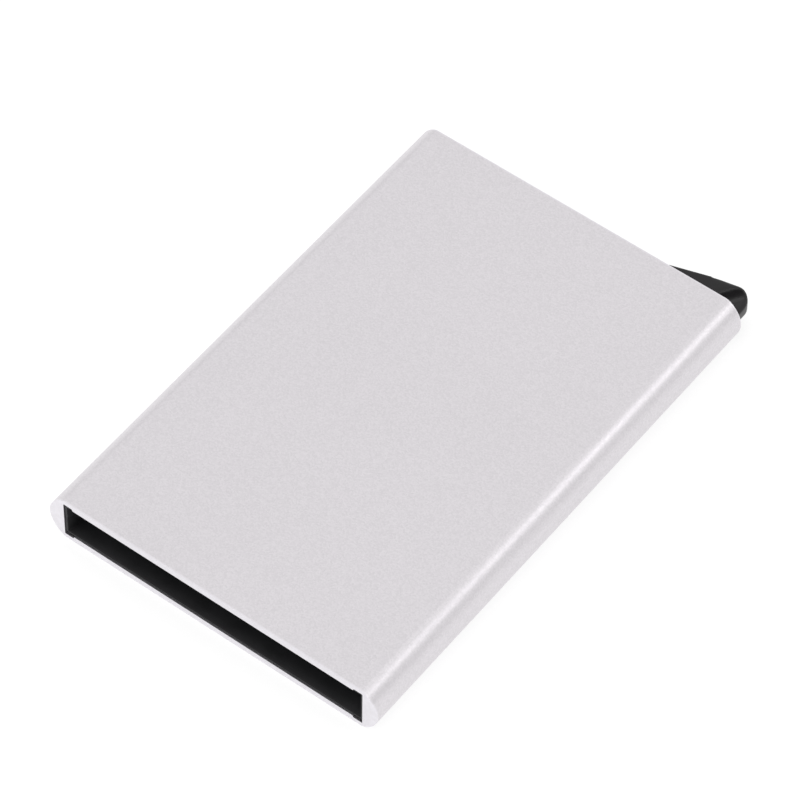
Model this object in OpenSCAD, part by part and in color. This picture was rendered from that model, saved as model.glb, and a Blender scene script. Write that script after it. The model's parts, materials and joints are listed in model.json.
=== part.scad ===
// Pop-up card wallet: an aluminium sleeve, open at its card mouth (-Y), that
// holds a moulded cartridge. A sprung trigger lever at the far end (+Y) turns
// on a steel pin and its stepped arm pushes the cards out in a fan.
// The origin is the centre of the sleeve's bottom face, and +Z is up.

/* [Sleeve] */
// Width of the sleeve over its rounded sides
sleeve_w = 63.5; // [56:0.5:80]
// Length of the sleeve from the card mouth to the trigger end
sleeve_l = 95; // [84:0.5:120]
// Height of the sleeve
sleeve_h = 9.2; // [8.6:0.1:12]
// Thickness of the flat top and bottom walls
wall_t = 1.24; // [0.8:0.02:1.5]
// Thickness of a side wall where it bulges most
side_t = 2.85; // [2.2:0.05:3.5]
// How far a side bulges past the edge of the flat faces
side_bulge = 2.94; // [2:0.02:4]
// Radius of the edge between a flat face and a side
edge_r = 1.56; // [0.8:0.02:2.4]
// Width of the relief channel in each inner corner
relief_w = 1.75; // [1:0.05:2.5]
// Depth of the relief channel in each inner corner
relief_d = 0.38; // [0.1:0.02:0.6]

/* [Cartridge] */
// Thickness of the cartridge's floor and roof
liner_t = 0.6; // [0.4:0.05:1]
// Thickness of the cartridge's side walls
liner_side_t = 0.95; // [0.8:0.05:1.5]
// Gap between the cartridge and the sleeve
liner_gap = 0.05; // [0.02:0.01:0.15]
// How far the cartridge and the end cap sit inside the sleeve's ends
end_recess = 0.2; // [0.1:0.05:1]
// Length of the lead-in slope at the card mouth
lead_l = 1.8; // [0.5:0.1:3]
// Depth of the lead-in slope in the floor and the roof
lead_d = 0.35; // [0.1:0.05:0.5]
// Depth of the lead-in slope in a side wall
lead_side_d = 0.56; // [0.1:0.02:0.7]
// Radius of a screw boss that joins the two halves
boss_r = 1.4; // [1.2:0.05:1.8]
// Gap between a screw boss and the end cap
boss_gap = 0.5; // [0.2:0.1:2]
// Where the left screw boss stands, from the middle
boss_left = -14; // [-18:0.5:-8]
// Where the right screw boss stands, from the middle
boss_right = -2; // [-5:0.5:-1]

/* [End cap] */
// Thickness of the end cap
end_t = 1.5; // [1:0.1:2.5]
// Width of a block that takes an end cap screw
end_block_w = 3; // [2.6:0.1:4]
// Depth of a block that takes an end cap screw
end_block_l = 3.2; // [2.8:0.1:4]
// Room between the trigger's heel and the side of its window
window_gap = 0.4; // [0.3:0.05:0.8]
// Width of the cap between the window and the block beside it
window_post = 0.6; // [0.4:0.1:1.5]

/* [Screws] */
// Radius of a screw's shank
screw_r = 0.6; // [0.4:0.05:0.8]
// Radius of a screw's head
screw_head_r = 1; // [0.8:0.05:1.2]
// Thickness of a screw's head
screw_head_t = 0.45; // [0.3:0.05:0.6]
// Length of each arm of the cross recess in a screw's head
cross_l = 1.3; // [0.8:0.05:1.5]
// Width of the cross recess
cross_w = 0.24; // [0.15:0.01:0.3]
// Depth of the cross recess
cross_d = 0.22; // [0.1:0.01:0.25]
// Gap round a screw
screw_gap = 0.03; // [0.02:0.01:0.1]
// Room past the tip of a screw
screw_room = 0.1; // [0.05:0.05:0.3]
// Length of the shank of an end cap screw
end_screw_l = 3.4; // [2:0.1:5]

/* [Trigger] */
// Distance from the pivot to the end face of the sleeve
pivot_end = 6; // [5:0.1:8]
// Radius of the lever's hub
hub_r = 3.6; // [3.5:0.05:4]
// Gap between the hub and the cartridge's side wall
hub_gap = 0.5; // [0.3:0.05:1]
// Gap above and below the lever
lever_gap = 0.15; // [0.1:0.01:0.3]
// Length of the longest step of the arm, from the pivot
arm_l = 48; // [30:0.5:52]
// Number of steps in the arm
arm_steps = 6; // [3:1:6]
// How much shorter each step is than the one below it
arm_step_l = 5; // [2:0.5:6]
// How far the arm reaches past the pivot towards the cards
arm_front = 3.2; // [2.6:0.1:4]
// How far the arm reaches past the pivot towards the end cap
arm_back = 0.7; // [0.2:0.1:1.2]
// Gap between the tab and the end face of the sleeve
tab_gap = 0.25; // [0.2:0.05:0.6]
// How far the tab's slope starts from the sleeve's widest point
tab_start = 20.35; // [14:0.05:22]
// Angle of the tab's slope to the end face
tab_slope = 17.9; // [10:0.05:20]
// Radius of the tab's nose
tab_nose_r = 2; // [1:0.1:3]
// How far the tab's side sits inside the sleeve's widest point
tab_inset = 1.45; // [0.5:0.05:2]
// How far the slope carries on inside the sleeve
tab_inner = 1.5; // [0.5:0.1:2]
// Radius of the thumb scoop
scoop_r = 4.5; // [4:0.1:8]
// Depth of the thumb scoop
scoop_d = 2; // [0.5:0.1:2.4]
// Angle of the scoop to the length of the sleeve
scoop_turn = 33; // [0:1:45]
// Where the scoop's ridge starts, in from the sleeve's widest point
scoop_x = 5.65; // [3:0.05:9]
// Where the scoop's ridge starts, out from the sleeve's end face
scoop_y = 1.8; // [1:0.1:3]

/* [Pivot and spring] */
// Radius of the pivot pin
pin_r = 1; // [0.8:0.05:1.2]
// Running gap between the pin and its bush
pin_gap = 0.04; // [0.02:0.01:0.08]
// Gap between the pin and its seats in the cartridge
pin_seat_gap = 0.01; // [0.01:0.01:0.03]
// Wall of the bush
bush_t = 0.56; // [0.4:0.02:0.7]
// How far the bush stands proud of each side of the lever
bush_proud = 0.05; // [0.02:0.01:0.08]
// Wall of the lever's core round the bush
core_t = 0.5; // [0.4:0.05:0.6]
// Radius of the spring's wire
wire_r = 0.2; // [0.15:0.01:0.25]
// Gap round the spring inside its pocket
spring_gap = 0.28; // [0.15:0.01:0.35]
// Distance between turns of the spring
spring_pitch = 0.5; // [0.5:0.02:0.6]
// Turns of the spring
spring_turns = 3.75; // [1.75:1:3.75]
// Length of each leg of the spring
leg_l = 4.6; // [3.6:0.1:4.8]
// Gap between the spring and the cartridge's floor
spring_lift = 0.06; // [0.02:0.01:0.1]
// Height of the lever's pocket over the fixed leg, above the wire
leg_pocket_up = 0.5; // [0.3:0.05:0.6]
// Room past the end of the fixed leg as the lever turns
leg_room = 1.4; // [1:0.1:2]
// Radius of the post that holds the fixed leg
post_r = 0.5; // [0.4:0.05:0.7]
// Gap between the post and the fixed leg
post_gap = 0.02; // [0.01:0.01:0.05]
// Room round the post in the lever's pocket
post_room = 0.4; // [0.2:0.05:0.6]
// Gap between the top of the post and the roof of the lever's pocket
post_short = 0.35; // [0.2:0.05:0.5]

/* [Card grip] */
// Length of a side spring
side_spring_l = 30; // [20:1:40]
// Width of a side spring, up the side wall
side_spring_w = 2.4; // [1.8:0.1:2.8]
// Thickness of a side spring
side_spring_t = 0.15; // [0.1:0.01:0.25]
// How far a side spring bows
side_spring_bow = 0.9; // [0.6:0.05:1]
// Distance from the card mouth to a side spring
side_spring_y = 16; // [10:0.5:30]
// Depth of the pocket behind a side spring
side_pocket_d = 0.6; // [0.5:0.05:0.7]
// Gap round a side spring in its pocket
side_spring_gap = 0.1; // [0.05:0.01:0.2]
// Width of a brake pad
pad_w = 38; // [20:1:48]
// Length of a brake pad
pad_l = 9; // [5:0.5:14]
// Thickness of a brake pad
pad_t = 0.45; // [0.3:0.05:0.5]
// Distance from the card mouth to the brake pads
pad_y = 7; // [4:0.5:20]

/* [Hidden] */
$fn = 64;
BOW_FN = 1440;
SPRING_SIDES = 8;
SPRING_STEP = 12;
EPS = 0.01;
CUT = 1;

// Sleeve
half_h = sleeve_h / 2;
side_r = (half_h * half_h + side_bulge * side_bulge) / (2 * side_bulge);
side_x = sleeve_w / 2 - side_r;
edge_z = half_h - edge_r;
edge_x = side_x + sqrt(pow(side_r - edge_r, 2) - edge_z * edge_z);
tangent_z = edge_z * side_r / (side_r - edge_r);
cavity_w = sleeve_w - 2 * side_t;
cavity_h = sleeve_h - 2 * wall_t;
mouth_y = -sleeve_l / 2;
end_y = sleeve_l / 2;

// Cartridge
liner_x = cavity_w / 2 - liner_gap;
liner_z0 = wall_t + liner_gap;
liner_z1 = sleeve_h - wall_t - liner_gap;
liner_y0 = mouth_y + end_recess;
cap_y = end_y - end_recess - end_t;
inner_x = liner_x - liner_side_t;
floor_z = liner_z0 + liner_t;
roof_z = liner_z1 - liner_t;

// Lever and pivot
pivot_x = inner_x - hub_gap - hub_r;
pivot_y = end_y - pivot_end;
lever_z0 = floor_z + lever_gap;
lever_z1 = roof_z - lever_gap;
lever_t = lever_z1 - lever_z0;
arm_w = arm_front + arm_back;
arm_y = pivot_y - arm_front;
bush_bore_r = pin_r + pin_gap;
bush_r = bush_bore_r + bush_t;
core_r = bush_r + core_t;
coil_r = core_r + spring_gap + wire_r;
pocket_r = coil_r + wire_r + spring_gap;
coil_z = floor_z + wire_r + spring_lift;
coil_top = coil_z + spring_pitch * spring_turns;
pocket_z = coil_top + wire_r + spring_gap;
neck_x = pivot_x + hub_r;
tab_x0 = sleeve_w / 2 - tab_start;
tab_y0 = end_y + tab_gap;
nose_x = sleeve_w / 2 - tab_inset - tab_nose_r;
slope_k = tan(tab_slope);
nose_y = end_y + slope_k * (nose_x - tab_x0) - tab_nose_r / cos(tab_slope);
heel_x = tab_x0 - tab_inner;
heel_y = end_y - slope_k * tab_inner;
heel_reach = norm([heel_x - pivot_x, heel_y - pivot_y]);
window_x0 = pivot_x - heel_reach - window_gap;

// Screws and blocks
boss_xs = [boss_left, boss_right];
boss_y = cap_y - boss_r - boss_gap;
end_xs = [-inner_x + end_block_w / 2, window_x0 - window_post - end_block_w / 2];
post_x = pivot_x - leg_l + post_r;
post_y = pivot_y + coil_r - wire_r - post_r - post_gap;
leg_pocket_r = leg_l + leg_room;
leg_pocket_h = wire_r * 2 + leg_pocket_up;
post_top = lever_z0 + leg_pocket_h - post_short;

// Card grip
side_spring_r = (pow(side_spring_l / 2, 2) + pow(side_spring_bow, 2)) / (2 * side_spring_bow);
side_spring_mid = mouth_y + side_spring_y + side_spring_l / 2;
pad_mid = mouth_y + pad_y + pad_l / 2;

// A box between two corners.
module block(low, high) {
    translate(low) cube(high - low);
}

// Extrudes an outline drawn in X and Z along Y.
module along_y(y0, y1) {
    translate([0, y1, 0]) rotate([90, 0, 0]) linear_extrude(y1 - y0) children();
}

// Extrudes an outline drawn in Y and Z along X.
module along_x(x0, x1) {
    translate([x0, 0, 0]) rotate([90, 0, 90]) linear_extrude(x1 - x0) children();
}

// Flat top and bottom, bulged sides and a small round edge between them.
module sleeve_outline() {
    translate([0, half_h]) {
        square([2 * edge_x, sleeve_h], center = true);
        for (sx = [-1, 1]) {
            for (sz = [-1, 1]) translate([sx * edge_x, sz * edge_z]) circle(edge_r);
            intersection() {
                translate([sx * side_x, 0]) circle(side_r);
                translate([sx * sleeve_w / 4, 0]) square([sleeve_w / 2, 2 * tangent_z], center = true);
            }
        }
    }
}

module cavity_outline() {
    translate([0, half_h]) {
        square([cavity_w, cavity_h], center = true);
        for (sx = [-1, 1], sz = [-1, 1])
            translate([sx * (cavity_w - relief_w) / 2, sz * cavity_h / 2])
                square([relief_w, 2 * relief_d], center = true);
    }
}

module outer_sleeve() {
    color([0.85, 0.84, 0.85])
    along_y(mouth_y, end_y) difference() {
        sleeve_outline();
        cavity_outline();
    }
}

// The bowed pocket's clear space behind a side spring.
module side_pocket(side) {
    reach = side_spring_l / 2 + side_spring_gap;
    high = side_spring_w / 2 + side_spring_gap;
    block([side * (inner_x + side_pocket_d / 2) - side_pocket_d / 2 - EPS, side_spring_mid - reach,
           half_h - high],
          [side * (inner_x + side_pocket_d / 2) + side_pocket_d / 2 + EPS, side_spring_mid + reach,
           half_h + high]);
}

// Slopes cut on the two side walls at the card mouth.
module side_lead_in() {
    for (sx = [-1, 1])
        linear_extrude(sleeve_h)
            polygon([[sx * (inner_x - EPS), liner_y0 - EPS],
                     [sx * (inner_x + lead_side_d), liner_y0 - EPS],
                     [sx * (inner_x - EPS), liner_y0 + lead_l]]);
}

module cartridge_tray() {
    color([0.09, 0.09, 0.1])
    difference() {
        union() {
            block([-liner_x, liner_y0, liner_z0], [liner_x, cap_y, floor_z]);
            for (sx = [-1, 1])
                translate([sx * (inner_x + liner_x) / 2 - liner_side_t / 2, liner_y0, liner_z0])
                    cube([liner_side_t, cap_y - liner_y0, half_h - liner_z0]);
            for (x = boss_xs) translate([x, boss_y, liner_z0]) cylinder(r = boss_r, h = half_h - liner_z0);
            for (x = end_xs)
                block([x - end_block_w / 2, cap_y - end_block_l, liner_z0],
                      [x + end_block_w / 2, cap_y, roof_z - liner_gap]);
            translate([post_x, post_y, liner_z0]) cylinder(r = post_r, h = post_top - liner_z0);
        }
        translate([pivot_x, pivot_y, 0]) cylinder(r = pin_r + pin_seat_gap, h = sleeve_h);
        for (x = boss_xs)
            translate([x, boss_y, floor_z - screw_room]) cylinder(r = screw_r + screw_gap, h = sleeve_h);
        for (x = end_xs)
            translate([x, cap_y + EPS, half_h]) rotate([90, 0, 0])
                cylinder(r = screw_r + screw_gap, h = end_screw_l - end_t + screw_head_t + 2 * screw_room);
        for (sx = [-1, 1]) side_pocket(sx);
        side_lead_in();
        along_x(-inner_x, inner_x)
            polygon([[liner_y0 - EPS, floor_z + EPS], [liner_y0 - EPS, floor_z - lead_d],
                     [liner_y0 + lead_l, floor_z + EPS]]);
    }
}

module cartridge_lid() {
    color([0.1, 0.1, 0.11])
    difference() {
        union() {
            block([-liner_x, liner_y0, roof_z], [liner_x, cap_y, liner_z1]);
            for (sx = [-1, 1])
                translate([sx * (inner_x + liner_x) / 2 - liner_side_t / 2, liner_y0, half_h])
                    cube([liner_side_t, cap_y - liner_y0, liner_z1 - half_h]);
            for (x = boss_xs) translate([x, boss_y, half_h]) cylinder(r = boss_r, h = liner_z1 - half_h);
        }
        translate([pivot_x, pivot_y, 0]) cylinder(r = pin_r + pin_seat_gap, h = sleeve_h);
        for (x = boss_xs) translate([x, boss_y, 0]) {
            cylinder(r = screw_r + screw_gap, h = sleeve_h);
            translate([0, 0, liner_z1 - screw_head_t - screw_gap])
                cylinder(r = screw_head_r + screw_gap, h = sleeve_h);
        }
        for (sx = [-1, 1]) side_pocket(sx);
        side_lead_in();
        along_x(-inner_x, inner_x)
            polygon([[liner_y0 - EPS, roof_z - EPS], [liner_y0 - EPS, roof_z + lead_d],
                     [liner_y0 + lead_l, roof_z - EPS]]);
    }
}

// A pan-head screw whose head top is at the origin, pointing down.
module screw(shank_l) {
    difference() {
        union() {
            translate([0, 0, -screw_head_t]) cylinder(r = screw_head_r, h = screw_head_t);
            translate([0, 0, -screw_head_t - shank_l]) cylinder(r = screw_r, h = shank_l + EPS);
        }
        for (a = [0, 90]) rotate([0, 0, a]) cube([cross_l, cross_w, 2 * cross_d], center = true);
    }
}

module cartridge_screws() {
    color([0.6, 0.6, 0.62])
    for (x = boss_xs) translate([x, boss_y, liner_z1])
        screw(liner_z1 - screw_head_t - floor_z - screw_room);
}

module end_cap() {
    color([0.08, 0.08, 0.09])
    difference() {
        block([-liner_x, cap_y, liner_z0], [liner_x, cap_y + end_t, liner_z1]);
        block([window_x0, cap_y - EPS, floor_z], [inner_x, cap_y + end_t + EPS, roof_z]);
        for (x = end_xs) translate([x, cap_y - EPS, half_h]) rotate([-90, 0, 0]) {
            cylinder(r = screw_r + screw_gap, h = end_t + CUT);
            translate([0, 0, end_t - screw_head_t - screw_gap])
                cylinder(r = screw_head_r + screw_gap, h = end_t);
        }
    }
}

module end_cap_screws() {
    color([0.6, 0.6, 0.62])
    for (x = end_xs) translate([x, cap_y + end_t, half_h]) rotate([-90, 0, 0])
        screw(end_screw_l);
}

// Outline of the neck and the tab, seen from above.
module tab_outline() {
    tip = [nose_x - tab_nose_r * sin(tab_slope), nose_y + tab_nose_r * cos(tab_slope)];
    polygon([[heel_x, heel_y], tip, [nose_x, nose_y], [nose_x, tab_y0], [neck_x, tab_y0],
             [neck_x, pivot_y], [pivot_x, pivot_y], [heel_x, pivot_y]]);
    intersection() {
        translate([nose_x, nose_y]) circle(tab_nose_r);
        translate([nose_x - tab_nose_r, tab_y0]) square(2 * (nose_y + tab_nose_r - tab_y0));
    }
    translate([nose_x, tab_y0]) square([tab_nose_r, nose_y - tab_y0]);
}

// One step of the arm, seen from above, with a round tip.
module arm_outline(reach) {
    translate([pivot_x - reach + arm_w / 2, arm_y]) square([reach - arm_w / 2, arm_w]);
    translate([pivot_x - reach + arm_w / 2, arm_y + arm_w / 2]) circle(arm_w / 2);
}

module trigger_lever() {
    step_t = lever_t / arm_steps;
    color([0.13, 0.13, 0.14])
    difference() {
        union() {
            translate([pivot_x, pivot_y, lever_z0]) cylinder(r = hub_r, h = lever_t);
            for (i = [0 : arm_steps - 1])
                translate([0, 0, lever_z0]) linear_extrude(step_t * (i + 1))
                    arm_outline(arm_l - arm_step_l * i);
            translate([0, 0, lever_z0]) linear_extrude(lever_t) tab_outline();
        }
        translate([pivot_x, pivot_y, 0]) cylinder(r = bush_r, h = sleeve_h);
        spring_pocket();
        thumb_scoop();
    }
}

// Room under the lever for the spring's coil, its legs and the fixed post.
module spring_pocket() {
    translate([pivot_x, pivot_y, 0]) {
        difference() {
            cylinder(r = pocket_r, h = pocket_z);
            translate([0, 0, -CUT]) cylinder(r = core_r, h = sleeve_h);
        }
        intersection() {
            translate([0, 0, lever_z0 - CUT]) cylinder(r = leg_pocket_r, h = CUT + leg_pocket_h);
            translate([-leg_pocket_r, post_y - pivot_y - post_r - post_room, 0])
                cube([leg_pocket_r + CUT, leg_pocket_r, sleeve_h]);
            difference() {
                cylinder(r = leg_pocket_r, h = sleeve_h);
                translate([0, 0, -CUT]) cylinder(r = core_r, h = sleeve_h + 2 * CUT);
            }
        }
        translate([-coil_r - wire_r - spring_gap, 0, 0])
            cube([2 * (wire_r + spring_gap), leg_l + spring_gap, pocket_z]);
    }
}

// Hollow in the tab's outer corner where the thumb pushes.
module thumb_scoop() {
    up = scoop_r - scoop_d;
    half_chord = sqrt(scoop_r * scoop_r - up * up);
    intersection() {
        translate([sleeve_w / 2 - scoop_x + half_chord * cos(scoop_turn),
                   end_y + scoop_y - half_chord * sin(scoop_turn), lever_z1 + up])
            rotate([0, 0, -scoop_turn]) rotate([-90, 0, 0])
                translate([0, 0, -sleeve_h]) cylinder(r = scoop_r, h = 3 * sleeve_h);
        block([neck_x - hub_r, tab_y0, 0], [sleeve_w, end_y + sleeve_h, sleeve_h]);
    }
}

module pivot_bush() {
    color([0.78, 0.62, 0.3])
    translate([pivot_x, pivot_y, lever_z0 - bush_proud]) difference() {
        cylinder(r = bush_r, h = lever_t + 2 * bush_proud);
        translate([0, 0, -CUT]) cylinder(r = bush_bore_r, h = sleeve_h + CUT);
    }
}

module pivot_pin() {
    color([0.7, 0.7, 0.72])
    translate([pivot_x, pivot_y, liner_z0]) cylinder(r = pin_r, h = liner_z1 - liner_z0);
}

// Points of the spring's wire: a fixed leg, the coil and a leg on the lever.
function coil_point(a) = [coil_r * cos(a), coil_r * sin(a), coil_z + spring_pitch * (90 - a) / 360];
coil_end = 90 - 360 * spring_turns;
spring_path = concat(
    [[-leg_l, coil_r, coil_z], [-leg_l / 2, coil_r, coil_z]],
    [for (a = [90 : -SPRING_STEP : coil_end]) coil_point(a)],
    [[-coil_r, leg_l / 2, coil_top], [-coil_r, leg_l, coil_top]]);

function unit(v) = v / norm(v);
function way(path, i) = unit(path[min(i + 1, len(path) - 1)] - path[max(i - 1, 0)]);

// A round wire swept along a path that stays nearly level.
module wire(path, r, sides) {
    rings = len(path);
    points = [for (i = [0 : rings - 1])
              let (t = way(path, i), u = unit(cross(t, [0, 0, 1])), v = cross(u, t))
              for (k = [0 : sides - 1]) path[i] + r * (cos(360 * k / sides) * u + sin(360 * k / sides) * v)];
    skin = [for (i = [0 : rings - 2]) for (k = [0 : sides - 1])
            let (a = i * sides + k, b = i * sides + (k + 1) % sides)
            [a, b, b + sides, a + sides]];
    first = [for (k = [sides - 1 : -1 : 0]) k];
    last = [for (k = [0 : sides - 1]) (rings - 1) * sides + k];
    polyhedron(points, concat(skin, [first], [last]), convexity = 10);
}

module return_spring() {
    color([0.7, 0.7, 0.72])
    translate([pivot_x, pivot_y, 0]) wire(spring_path, wire_r, SPRING_SIDES);
}

// A bowed strip of spring steel in a side wall; side is 1 on the right.
module side_spring(side) {
    reach = side_spring_l / 2;
    back_x = inner_x + side_pocket_d - side_spring_gap;
    axis_x = back_x - side_spring_bow + side_spring_r;
    color([0.66, 0.66, 0.68])
    mirror([side < 0 ? 1 : 0, 0, 0]) intersection() {
        translate([axis_x, side_spring_mid, half_h - side_spring_w / 2]) difference() {
            cylinder(r = side_spring_r, h = side_spring_w, $fn = BOW_FN);
            translate([0, 0, -CUT])
                cylinder(r = side_spring_r - side_spring_t, h = side_spring_w + 2 * CUT, $fn = BOW_FN);
        }
        block([0, side_spring_mid - reach, 0],
              [back_x + side_spring_gap / 2, side_spring_mid + reach, sleeve_h]);
    }
}

module side_spring_left() {
    side_spring(-1);
}

module side_spring_right() {
    side_spring(1);
}

module brake_pad(z) {
    color([0.16, 0.16, 0.17])
    block([-pad_w / 2, pad_mid - pad_l / 2, z], [pad_w / 2, pad_mid + pad_l / 2, z + pad_t]);
}

module brake_pad_top() {
    brake_pad(roof_z - pad_t);
}

module brake_pad_bottom() {
    brake_pad(floor_z);
}

outer_sleeve();
cartridge_tray();
cartridge_lid();
cartridge_screws();
end_cap();
end_cap_screws();
trigger_lever();
pivot_bush();
pivot_pin();
return_spring();
side_spring_left();
side_spring_right();
brake_pad_top();
brake_pad_bottom();
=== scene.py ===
"""Pop-up card wallet: an anodised sleeve round a black cartridge with a corner trigger.

Every length in a dataclass is in millimetres. Meshes are built in metres in the
row frame, where the sleeve's bottom face is centred on the origin, +Y runs to
the trigger end and +Z is up.
"""

import enum
import json
import logging
import math
from collections.abc import Callable, Iterable, Sequence
from dataclasses import dataclass

import bmesh
import bpy
from bmesh.types import BMEdge, BMesh, BMFace, BMVert
from bpy.types import Material, Mesh, Node, NodeInputs, NodeOutputs, NodeSocket, NodeTree, Object
from mathutils import Matrix, Vector, noise


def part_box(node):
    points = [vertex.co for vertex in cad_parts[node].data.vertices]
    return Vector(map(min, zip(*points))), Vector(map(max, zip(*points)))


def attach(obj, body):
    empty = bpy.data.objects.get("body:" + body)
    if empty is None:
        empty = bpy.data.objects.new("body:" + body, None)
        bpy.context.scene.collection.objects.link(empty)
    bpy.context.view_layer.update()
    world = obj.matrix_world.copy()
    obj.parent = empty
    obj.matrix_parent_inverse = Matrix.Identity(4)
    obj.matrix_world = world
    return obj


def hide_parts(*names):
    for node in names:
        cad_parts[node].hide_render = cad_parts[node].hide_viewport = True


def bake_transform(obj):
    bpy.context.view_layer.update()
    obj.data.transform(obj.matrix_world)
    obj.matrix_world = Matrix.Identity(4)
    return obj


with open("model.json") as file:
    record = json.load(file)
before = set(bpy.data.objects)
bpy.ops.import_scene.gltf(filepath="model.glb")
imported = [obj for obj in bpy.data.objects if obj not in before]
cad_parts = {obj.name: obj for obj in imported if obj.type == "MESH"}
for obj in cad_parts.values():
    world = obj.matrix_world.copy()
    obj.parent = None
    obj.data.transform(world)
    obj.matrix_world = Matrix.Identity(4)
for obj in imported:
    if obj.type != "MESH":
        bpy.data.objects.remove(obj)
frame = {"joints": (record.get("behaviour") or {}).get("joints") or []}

log = logging.getLogger("card_wallet")

MM = 0.001
WELD = 1e-5
SAME = 1e-4
NEAR = 1e-3
PAST = 1.0
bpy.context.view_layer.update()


# ---------------------------------------------------------------- places


@dataclass(frozen=True)
class Span:
    """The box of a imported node, in millimetres."""

    low: Vector
    high: Vector

    @classmethod
    def of(cls, node: str) -> "Span":
        """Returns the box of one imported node."""
        low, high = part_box(node)
        return cls(low / MM, high / MM)

    @property
    def middle(self) -> Vector:
        """The centre of the box."""
        return (self.low + self.high) / 2

    @property
    def size(self) -> Vector:
        """The box's size along X, Y and Z."""
        return self.high - self.low


SLEEVE = Span.of("outer_sleeve")
PIVOT = Vector(frame["joints"][0]["pos_m"]) / MM
Place = Sequence[float]
Test = Callable[[Vector], bool]


# ---------------------------------------------------------------- mesh helpers


class Axis(enum.Enum):
    """A direction of the row frame."""

    Y = (0.0, 1.0, 0.0)
    Z = (0.0, 0.0, 1.0)


class Joinery(enum.Enum):
    """What a boolean does with its tool."""

    ADD = "UNION"
    CUT = "DIFFERENCE"
    KEEP = "INTERSECT"


def verts_of(made: Iterable[object]) -> list[BMVert]:
    """Picks the vertices out of what a mesh operation returned."""
    return [item for item in made if isinstance(item, BMVert)]


def edges_of(made: Iterable[object]) -> list[BMEdge]:
    """Picks the edges out of what a mesh operation returned."""
    return [item for item in made if isinstance(item, BMEdge)]


def arc(bm: BMesh, start: BMVert, centre: Place, turn: float, axis: Axis, steps: int) -> BMVert:
    """Carries a vertex round a centre and leaves edges behind it.

    Args:
        bm: The mesh that holds the vertex.
        start: The vertex to carry.
        centre: A point on the arc's axis.
        turn: How far to go, in degrees, by the right-hand rule.
        axis: The arc's axis.
        steps: The number of edges.

    Returns:
        The vertex at the arc's end.
    """
    spun = bmesh.ops.spin(bm, geom=[start], cent=centre, axis=axis.value, angle=math.radians(turn),
                          steps=steps, use_duplicate=False)
    return verts_of(spun["geom_last"])[0]


def run(bm: BMesh, start: BMVert, *places: Place) -> BMVert:
    """Draws straight edges from a vertex through new places and returns the last vertex."""
    for place in places:
        vert = bm.verts.new(place)
        bm.edges.new((start, vert))
        start = vert
    return start


def loop_through(bm: BMesh, places: Sequence[Place]) -> None:
    """Draws a closed outline through places."""
    first = bm.verts.new(places[0])
    bm.edges.new((run(bm, first, *places[1:]), first))


def raise_outline(bm: BMesh, way: Place) -> None:
    """Fills the mesh's flat outlines, holes included, and draws them out into a solid."""
    filled = bmesh.ops.triangle_fill(bm, use_beauty=True, use_dissolve=False, edges=list(bm.edges))
    faces = [item for item in filled["geom"] if isinstance(item, BMFace)]
    drawn = bmesh.ops.extrude_face_region(bm, geom=faces)
    bmesh.ops.translate(bm, verts=verts_of(drawn["geom"]), vec=way)
    bmesh.ops.recalc_face_normals(bm, faces=bm.faces)


def box_form(low: Place, high: Place) -> BMesh:
    """Returns a new box between two corners."""
    bm = bmesh.new()
    low_v, high_v = Vector(low), Vector(high)
    place = Matrix.Translation((low_v + high_v) / 2) @ Matrix.Diagonal((*(high_v - low_v), 1.0))
    bmesh.ops.create_cube(bm, size=1.0, matrix=place)
    return bm


def rod_form(start: Place, end: Place, radius: float, sides: int = 64) -> BMesh:
    """Returns a new round rod between two points."""
    bm = bmesh.new()
    a, b = Vector(start), Vector(end)
    place = Matrix.Translation((a + b) / 2) @ (b - a).to_track_quat("Z", "Y").to_matrix().to_4x4()
    bmesh.ops.create_cone(bm, cap_ends=True, cap_tris=False, segments=sides, radius1=radius,
                          radius2=radius, depth=(b - a).length, matrix=place)
    return bm


def pivot_rod(low: float, high: float, radius: float, sides: int = 64) -> BMesh:
    """Returns a new round rod on the pivot's axis between two heights."""
    return rod_form((PIVOT.x, PIVOT.y, low), (PIVOT.x, PIVOT.y, high), radius, sides)


def rods(places: Iterable[Vector], along: Axis, start: float, end: float,
         radius: float) -> list[BMesh]:
    """Returns a rod through each place.

    Args:
        places: Points on the rods' axes.
        along: The direction of the axes.
        start: Where every rod starts on its axis.
        end: Where it ends.
        radius: The rods' radius.

    Returns:
        One closed rod for each place.
    """
    number = along.value.index(1.0)
    made = []
    for place in places:
        first, last = place.copy(), place.copy()
        first[number], last[number] = start, end
        made.append(rod_form(first, last, radius))
    return made


def sharp_edges(bm: BMesh, degrees: float, where: Test = lambda place: True) -> list[BMEdge]:
    """Finds the corners of a mesh.

    Args:
        bm: The mesh to search.
        degrees: The least angle between an edge's two faces.
        where: A test on an edge's midpoint.

    Returns:
        The edges that are sharper than the angle and pass the test.
    """
    return [edge for edge in bm.edges
            if len(edge.link_faces) == 2 and edge.calc_face_angle(0.0) > math.radians(degrees)
            and where((edge.verts[0].co + edge.verts[1].co) / 2)]


def round_edges(bm: BMesh, edges: Iterable[BMEdge], radius: float, segments: int = 3) -> None:
    """Rounds the given edges over."""
    bmesh.ops.bevel(bm, geom=list(edges), affect="EDGES", offset=radius, offset_type="OFFSET",
                    segments=segments, profile=0.5, material=-1, clamp_overlap=True)


def ease_corners(bm: BMesh, radius: float, where: Test = lambda place: True, degrees: float = 60.0,
                 segments: int = 3) -> None:
    """Rounds a mesh's corners over, where a test on their midpoints says so."""
    round_edges(bm, sharp_edges(bm, degrees, where), radius, segments)


def tidy_flats(bm: BMesh) -> None:
    """Merges stray doubles and joins faces that lie in one plane."""
    bmesh.ops.remove_doubles(bm, verts=bm.verts, dist=SAME)
    bmesh.ops.dissolve_limit(bm, angle_limit=math.radians(0.4), verts=bm.verts, edges=bm.edges)


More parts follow.
